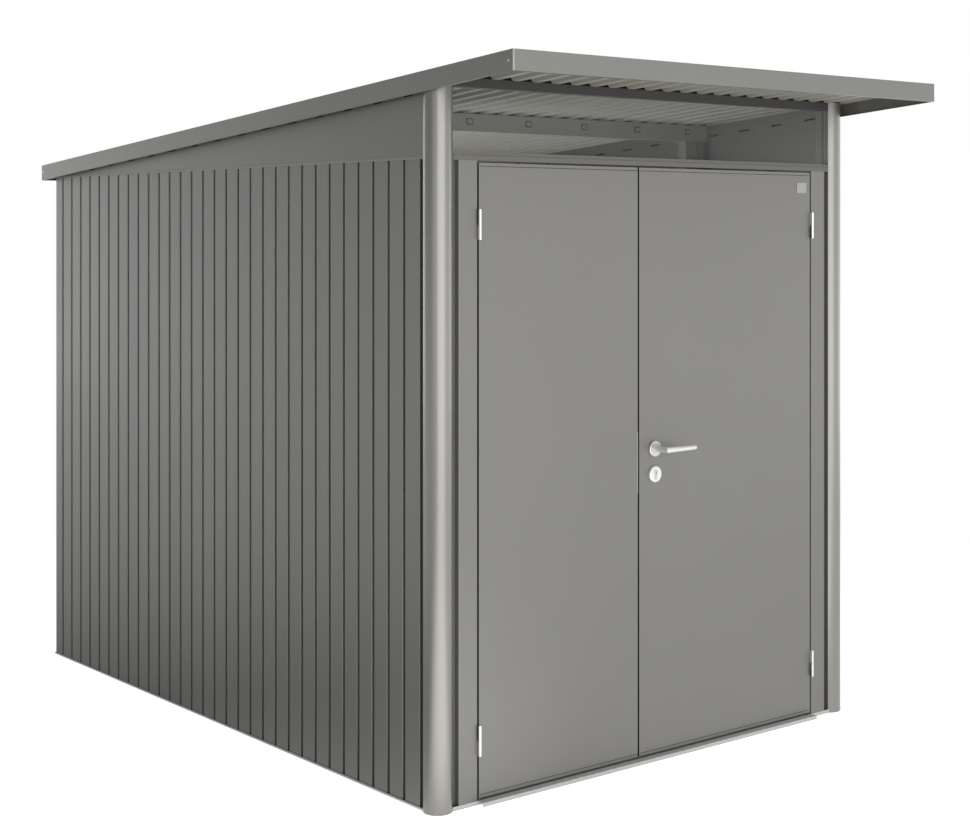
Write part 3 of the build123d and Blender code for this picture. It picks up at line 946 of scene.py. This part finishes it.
# Distance before the neck's start or the tip, and radius there, in millimetres
neck_outline = ((20, 9), (0, 12.0), (-6, 11.0), (-18, 9.4), (-34, 9.2))
tip_outline = ((3, 7.6), (1.2, 7.0), (0.3, 5.6), (0, 3.2))


def lever_side(bm, sign):
    """One lever; sign is 1 outside and -1 inside."""

    def at(x, y):
        return (x, lever_middle + sign * (y - lever_middle), spindle_z)

    path = [at(spindle_x, neck_start + before * MM) for before, radius in neck_outline]
    path += [at(spindle_x, elbow_y)]
    path += [at(tip_x - before * MM, elbow_y) for before, radius in tip_outline]
    outline = neck_outline + ((0, elbow_radius),) + tip_outline
    tube(bm, path, [radius * MM for before, radius in outline])


lever_bm = bmesh.new()
lever_side(lever_bm, 1)
lever_side(lever_bm, -1)
lever = dressed("door_lever", lever_bm)
print("both levers have", len(lever.data.polygons), "faces")

# %% Lock and roses: stamped and turned parts with broken edges
rose_drop = 82 * MM
softened("door_lock", 0.5, 3)
roses = softened("handle_roses", 0.5, 3)
# The upper rose takes the darker nickel finish as painted shade under the lever's neck
second_finish(roses, nickel, lambda face: face.center.z > spindle_z - rose_drop / 2)
print("roses stand", round(rose_drop / MM), "mm apart")

# %% Hinges: the knuckles are drawn in to the slimmer barrel that shows
knuckle_radius, knuckle_share = 6 * MM, 0.75
hinge_x = high("frame_hinges").x - knuckle_radius
hinge_y = low("frame_hinges").y + knuckle_radius
for name in ("frame_hinges", "left_door_hinges", "right_door_hinges"):
    slimmer = softened(name, 0.4, 3)
    for vert in slimmer.data.vertices:
        axis = Vector((-hinge_x if vert.co.x < 0 else hinge_x, hinge_y, vert.co.z))
        if (vert.co - axis).length < knuckle_radius + 0.2 * MM:
            vert.co = axis + knuckle_share * (vert.co - axis)
print("hinge pins stand at", round(hinge_x, 4), round(hinge_y, 4))

# %% [markdown]
# ## Small fittings on the doors
# A bare plate is riveted near the top of the right leaf. The strike folds a bright lip over the
# edge of the left leaf, a dark seal closes the gap between the leaves, and the lock's cylinder has
# a keyway, a black inlay that is painted shade. A thin black strip along the step where each leaf's
# face ends and its hem starts is painted shadow.

# %% A fitting is a small block with rounded edges
def fitting(name, x, y, z, body, slot, radius_mm, material):
    """x, y and z are each the lower and the upper end of the block."""
    bm = bmesh.new()
    plan = ((x[0], y[0]), (x[1], y[0]), (x[1], y[1]), (x[0], y[1]))
    join_rings(bm, [[bm.verts.new((a, b, level)) for a, b in plan] for level in z])
    piece = piece_from(name, mesh_from(name, bm), body, slot, material)
    bevelled(piece, radius_mm, 3)
    print(name, "is", [round((b - a) / MM, 1) for a, b in (x, y, z)], "mm")


# %% Badge plate and strike lip
fitting(
    "badge_plate",
    (669 * MM, 718 * MM),
    (door_face - 1.4 * MM, door_face),
    (1825 * MM, 1861 * MM),
    "right_door",
    "stainless_steel",
    0.5,
    plate,
)
meeting_edge = high("left_door_leaf").x
fitting(
    "strike_lip",
    (meeting_edge - 3.2 * MM, meeting_edge + 0.2 * MM),
    (door_face - 0.5 * MM, door_face + 0.6 * MM),
    (859 * MM, 1054 * MM),
    "left_door",
    "stainless_steel",
    0.2,
    plate,
)

# %% Painted hem shadows, meeting seal and painted keyway shade
# Black strips flush on each leaf: painted shadow along the step where its hem starts
for body, name in (("left_door", "left_door_leaf"), ("right_door", "right_door_leaf")):
    corner_low, corner_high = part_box(name)
    for end, z in (("lower", corner_low.z + hem_height), ("upper", corner_high.z - hem_height)):
        fitting(
            f"{body}_{end}_hem_joint",
            (corner_low.x + 2 * MM, corner_high.x - 2 * MM),
            (door_face - 0.1 * MM, door_face + 0.3 * MM),
            (z - 0.9 * MM, z + 0.6 * MM),
            body,
            "door_sheet",
            0.02,
            black_foam,
        )
seal_low, seal_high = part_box("right_door_leaf")
fitting(
    "meeting_seal",
    (seal_low.x - 0.8 * MM, seal_low.x),
    (door_face + 0.7 * MM, door_back - 2 * MM),
    (seal_low.z + 1 * MM, seal_high.z - 1 * MM),
    "right_door",
    "door_sheet",
    0.2,
    black_foam,
)
lock_low, lock_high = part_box("door_lock")
keyway_z = spindle_z - rose_drop
# Each keyway is a flush black inlay: painted shade where the slot in the cylinder would be dark
for side, y in (("outer", lock_low.y), ("inner", lock_high.y)):
    fitting(
        side + "_keyway",
        (spindle_x - 1.0 * MM, spindle_x + 1.0 * MM),
        (y - 0.15 * MM, y + 0.15 * MM),
        (keyway_z - 3 * MM, keyway_z + 9 * MM),
        "right_door",
        "nickel_plate",
        0.05,
        black_foam,
    )

# %% [markdown]
# ## Floor
# The photograph is a studio picture on white. For the camera the floor keeps the shed's soft shadow
# and fades to plain white away from it. Gloss sees a painted reflection instead: the floor glows
# only for glossy rays, brighter before the shed and behind it, with a painted pool of light ahead
# of the left post. All other rays meet a dull floor with a little painted glow of its own, kept low
# so that it doesn't wash out the foot of the walls.

# %% A flat sheet of floor
pure_white = (1, 1, 1, 1)
floor_edge = 40.0
floor_mesh = bpy.data.meshes.new("floor")
floor_corners = [(-1, -1), (1, -1), (1, 1), (-1, 1)]
floor_mesh.from_pydata(
    [(x * floor_edge, y * floor_edge, 0.0) for x, y in floor_corners], [], [(0, 1, 2, 3)]
)
floor = link(bpy.data.objects.new("floor", floor_mesh))
print("the floor is", 2 * floor_edge, "m wide")

# %% Finish of the floor, apart for the camera, for gloss and for all other light
shadow_reach, white_from = 2.2, 4.0
painted_ahead_light, painted_behind_light = 0.72, 0.55
pool_place, pool_inner, pool_outer = (-1.5, -2.8, 0.0), 1.3, 2.0
painted_pool_light, painted_away_light = 1.8, 0.36


def floor_with_painted_light():
    material, tree, place = empty_material("floor_with_painted_light")
    rays = add(tree, "ShaderNodeLightPath").outputs
    plan = add(tree, "ShaderNodeSeparateXYZ", Vector=place).outputs
    toward = add(
        tree, "ShaderNodeMath", {"operation": "SUBTRACT"}, i0=plan["X"], i1=plan["Y"]
    ).outputs[0]

    # For the camera: matt, with the shadow, then plain white
    matt = add(tree, "ShaderNodeBsdfDiffuse", Color=linear("#ececec"))
    glow = add(tree, "ShaderNodeEmission", Color=pure_white, Strength=0.75)
    lit = add(tree, "ShaderNodeAddShader", i0=matt.outputs[0], i1=glow.outputs[0])
    white = add(tree, "ShaderNodeEmission", Color=pure_white, Strength=1.0)
    away = add(tree, "ShaderNodeVectorMath", {"operation": "LENGTH"}, i0=place)
    fade = add(
        tree,
        "ShaderNodeMapRange",
        i0=away.outputs["Value"],
        i1=shadow_reach,
        i2=white_from,
        i3=0.0,
        i4=1.0,
    )
    shown = add(
        tree, "ShaderNodeMixShader", i0=fade.outputs[0], i1=lit.outputs[0], i2=white.outputs[0]
    )

    # For gloss: a painted reflection, bright ahead and behind, with a painted pool of light ahead
    # of the post
    ahead = add(
        tree, "ShaderNodeMapRange", i0=toward, i1=-1.5, i2=1.5, i3=0.0, i4=painted_ahead_light
    )
    behind = add(
        tree, "ShaderNodeMapRange", i0=toward, i1=-6.0, i2=-1.5, i3=painted_behind_light, i4=0.0
    )
    off = add(tree, "ShaderNodeVectorMath", {"operation": "DISTANCE"}, i0=place, i1=pool_place)
    painted_pool = add(
        tree,
        "ShaderNodeMapRange",
        i0=off.outputs["Value"],
        i1=pool_inner,
        i2=pool_outer,
        i3=painted_pool_light,
        i4=painted_away_light,
    )
    both = add(
        tree, "ShaderNodeMath", {"operation": "ADD"}, i0=ahead.outputs[0], i1=behind.outputs[0]
    )
    level = add(
        tree, "ShaderNodeMath", {"operation": "ADD"}, i0=both.outputs[0], i1=painted_pool.outputs[0]
    )
    painted_reflection = add(tree, "ShaderNodeEmission", Color=pure_white, Strength=level.outputs[0])

    # For all other light: dull, with a painted glow of its own
    dull = add(tree, "ShaderNodeBsdfDiffuse", Color=linear("#c8c8c8"))
    bright = add(tree, "ShaderNodeMapRange", i0=toward, i1=-1.0, i2=3.0, i3=0.15, i4=0.4)
    soft = add(tree, "ShaderNodeEmission", Color=pure_white, Strength=bright.outputs[0])
    dull_with_painted_glow = add(tree, "ShaderNodeAddShader", i0=dull.outputs[0], i1=soft.outputs[0])

    unseen = add(
        tree,
        "ShaderNodeMixShader",
        i0=rays["Is Glossy Ray"],
        i1=dull_with_painted_glow.outputs[0],
        i2=painted_reflection.outputs[0],
    )
    mixed = add(
        tree,
        "ShaderNodeMixShader",
        i0=rays["Is Camera Ray"],
        i1=unseen.outputs[0],
        i2=shown.outputs[0],
    )
    add(tree, "ShaderNodeOutputMaterial", Surface=mixed.outputs[0])
    # The floor isn't a lamp: sampled as one, its light would ignore the kind of ray
    material.cycles.emission_sampling = "NONE"
    return material


floor_mesh.materials.append(floor_with_painted_light())
print("the floor is white from", white_from, "m away")

# %% [markdown]
# ## World and lamps
# The world is white to the camera and through the glazing, and a dim fill for everything else. The
# light comes from large soft panels: a strong one in front, weaker ones to the left, right and far
# right, two overhead, one behind that only the rear of the side wall mirrors, and a dim one at the
# rear left. Two small ones inside stand for the daylight that reaches in under the roof.

# %% World
fill_light = 0.24
world = bpy.data.worlds.new("studio")
bpy.context.scene.world = world
world.use_nodes = True
sky = world.node_tree
sky.nodes.clear()
sky_rays = add(sky, "ShaderNodeLightPath").outputs
fill = add(sky, "ShaderNodeBackground", Color=pure_white, Strength=fill_light)
backdrop = add(sky, "ShaderNodeBackground", Color=pure_white, Strength=1.0)
seen = add(
    sky,
    "ShaderNodeMath",
    {"operation": "MAXIMUM"},
    i0=sky_rays["Is Camera Ray"],
    i1=sky_rays["Is Transmission Ray"],
)
studio = add(
    sky, "ShaderNodeMixShader", i0=seen.outputs[0], i1=fill.outputs[0], i2=backdrop.outputs[0]
)
add(sky, "ShaderNodeOutputWorld", Surface=studio.outputs[0])
print("the world fills in with", fill_light)


# %% Soft panels, each given by its brightness where a white card would be 1
def soft_panel(name, at, aim, width, height, brightness):
    lamp = bpy.data.lights.new(name, "AREA")
    lamp.shape = "RECTANGLE"
    lamp.size = width
    lamp.size_y = height
    lamp.energy = brightness * pi * width * height
    panel = link(bpy.data.objects.new(name, lamp))
    panel.location = at
    panel.rotation_euler = (Vector(aim) - Vector(at)).to_track_quat("-Z", "Y").to_euler()
    panel.visible_camera = False


# Name, place, point that it faces, width, height and brightness
panels = (
    ("front_panel", (-2.25, -7.0, 2.0), (-2.25, 0.0, 2.0), 6.9, 4.2, 2.05),
    ("right_panel", (5.2, -7.0, 2.0), (5.2, 0.0, 2.0), 8.0, 4.2, 0.62),
    ("far_right_panel", (9.4, -2.0, 2.0), (0.0, -2.0, 2.0), 9.6, 4.2, 1.2),
    ("left_panel", (-8.0, -6.5, 1.6), (0.0, -6.5, 1.6), 7.2, 3.4, 0.72),
    ("rear_left_panel", (-7.0, 7.0, 2.2), (-0.9, 0.3, 1.4), 6.5, 4.2, 0.12),
    ("key_panel", (2.5, -4.6, 6.0), (2.5, -4.6, 0.0), 9.0, 6.0, 0.85),
    ("top_panel", (-0.5, 0.5, 6.5), (-0.5, 0.5, 0.0), 6.0, 6.0, 0.5),
    ("rear_panel", (-1.4, 8.0, 2.4), (-1.4, 0.0, 2.4), 4.6, 4.2, 2.2),
    ("inside_panel", (0.45, 0.35, 0.9), (-0.5, 0.35, 2.1), 1.4, 0.8, 1.8),
    ("inside_left_panel", (-0.6, -0.2, 1.65), (0.88, 0.4, 1.9), 0.4, 0.4, 8.0),
)
for panel in panels:
    soft_panel(*panel)
print("lit by", len(panels), "soft panels")

# %% [markdown]
# ## Camera
# The picture's verticals are upright, so the camera is level and its view is shifted down. Its
# place and its heading follow from where the shed's long and short edges run together in the
# picture.

# %% Camera
view_place, view_heading = (-3.981, -5.147, 1.6955), -38.9
lens_mm, film_mm, shift_down = 65.18, 36.0, -0.19175
camera_data = bpy.data.cameras.new("camera")
camera_data.lens = lens_mm
camera_data.sensor_width = film_mm
camera_data.shift_y = shift_down
camera = link(bpy.data.objects.new("camera", camera_data))
camera.location = view_place
camera.rotation_euler = (radians(90), 0, radians(view_heading))
bpy.context.scene.camera = camera
bpy.context.scene.view_settings.view_transform = "Standard"
print("camera", round(view_place[2], 2), "m up, with a lens of", lens_mm, "mm")
